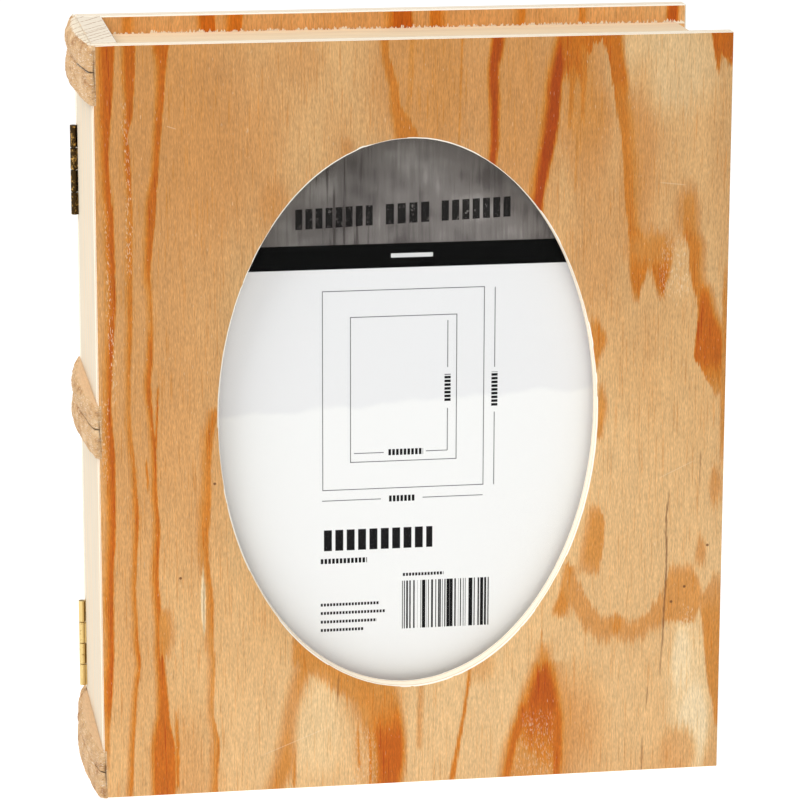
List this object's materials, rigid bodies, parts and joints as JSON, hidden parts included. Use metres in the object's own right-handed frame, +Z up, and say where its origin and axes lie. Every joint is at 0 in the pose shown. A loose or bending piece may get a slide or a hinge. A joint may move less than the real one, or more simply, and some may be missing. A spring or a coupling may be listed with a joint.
{
  "type": "photo album stand",
  "caption": "Wooden picture frame shaped like an old book, with an oval glazed window in its front cover, raised spine bands and a back cover that opens on brass hinges.",
  "frame": {"origin": "middle of the bounding box's footprint, on the surface that the covers stand on", "axes": "+Z up along the spine, -Y out of the front cover, +X from the spine towards the fore-edge"},
  "size_m": [0.1844, 0.0622, 0.217],
  "materials": {
    "veneer_ply": "bare sanded pine-faced plywood",
    "pale_wood": "bare sanded pine",
    "band_wood": "rough carved wood",
    "fillet_wood": "bare sanded pine",
    "hardboard": "smooth hardboard",
    "glass": "clear polished glass",
    "card": "satin printed card",
    "brass": "satin, tarnished in places",
    "steel": "dull plated steel"
  },
  "bodies": {
    "case": {"front_cover": "veneer_ply", "spine_board": "pale_wood", "head_rail": "pale_wood", "tail_rail": "pale_wood", "fore_edge_rail": "pale_wood", "band_top": "band_wood", "band_middle": "band_wood", "band_bottom": "band_wood", "glass_pane": "glass", "insert_card": "card", "backing_board": "hardboard", "glazing_fillet_head": "fillet_wood", "glazing_fillet_tail": "fillet_wood", "glazing_fillet_left": "fillet_wood", "glazing_fillet_right": "fillet_wood", "button_screw_left_lower": "steel", "button_screw_left_upper": "steel", "button_screw_right_lower": "steel", "button_screw_right_upper": "steel", "hinge_case_leaf_lower": "brass", "hinge_pin_lower": "brass", "leaf_screw_case_lower_a": "brass", "leaf_screw_case_lower_b": "brass", "hinge_case_leaf_upper": "brass", "hinge_pin_upper": "brass", "leaf_screw_case_upper_a": "brass", "leaf_screw_case_upper_b": "brass", "brad_spine": "steel", "brad_head": "steel", "brad_fore_edge": "steel"},
    "rear_cover": {"back_cover": "veneer_ply", "band_tail_top": "band_wood", "band_tail_middle": "band_wood", "band_tail_bottom": "band_wood", "hinge_cover_leaf_lower": "brass", "hinge_cover_leaf_upper": "brass", "leaf_screw_cover_lower_a": "brass", "leaf_screw_cover_lower_b": "brass", "leaf_screw_cover_upper_a": "brass", "leaf_screw_cover_upper_b": "brass"},
    "turn_button_left_lower_body": {"turn_button_left_lower": "brass"},
    "turn_button_left_upper_body": {"turn_button_left_upper": "brass"},
    "turn_button_right_lower_body": {"turn_button_right_lower": "brass"},
    "turn_button_right_upper_body": {"turn_button_right_upper": "brass"}
  },
  "joints": [
    {"name": "back_cover_swing", "type": "hinge", "parent": "case", "child": "rear_cover", "pos_m": [-0.0889, 0.02593, 0.1085], "axis": [0, 0, 1], "range_deg": [0, 90]},
    {"name": "turn_button_left_lower_turn", "type": "hinge", "parent": "case", "child": "turn_button_left_lower_body", "pos_m": [-0.07, -0.01937, 0.0603], "axis": [0, 1, 0], "range_deg": [-90, 90]},
    {"name": "turn_button_left_upper_turn", "type": "hinge", "parent": "case", "child": "turn_button_left_upper_body", "pos_m": [-0.07, -0.01937, 0.1583], "axis": [0, 1, 0], "range_deg": [-90, 90]},
    {"name": "turn_button_right_lower_turn", "type": "hinge", "parent": "case", "child": "turn_button_right_lower_body", "pos_m": [0.0706, -0.01937, 0.0603], "axis": [0, 1, 0], "range_deg": [-90, 90]},
    {"name": "turn_button_right_upper_turn", "type": "hinge", "parent": "case", "child": "turn_button_right_upper_body", "pos_m": [0.0706, -0.01937, 0.1583], "axis": [0, 1, 0], "range_deg": [-90, 90]}
  ]
}
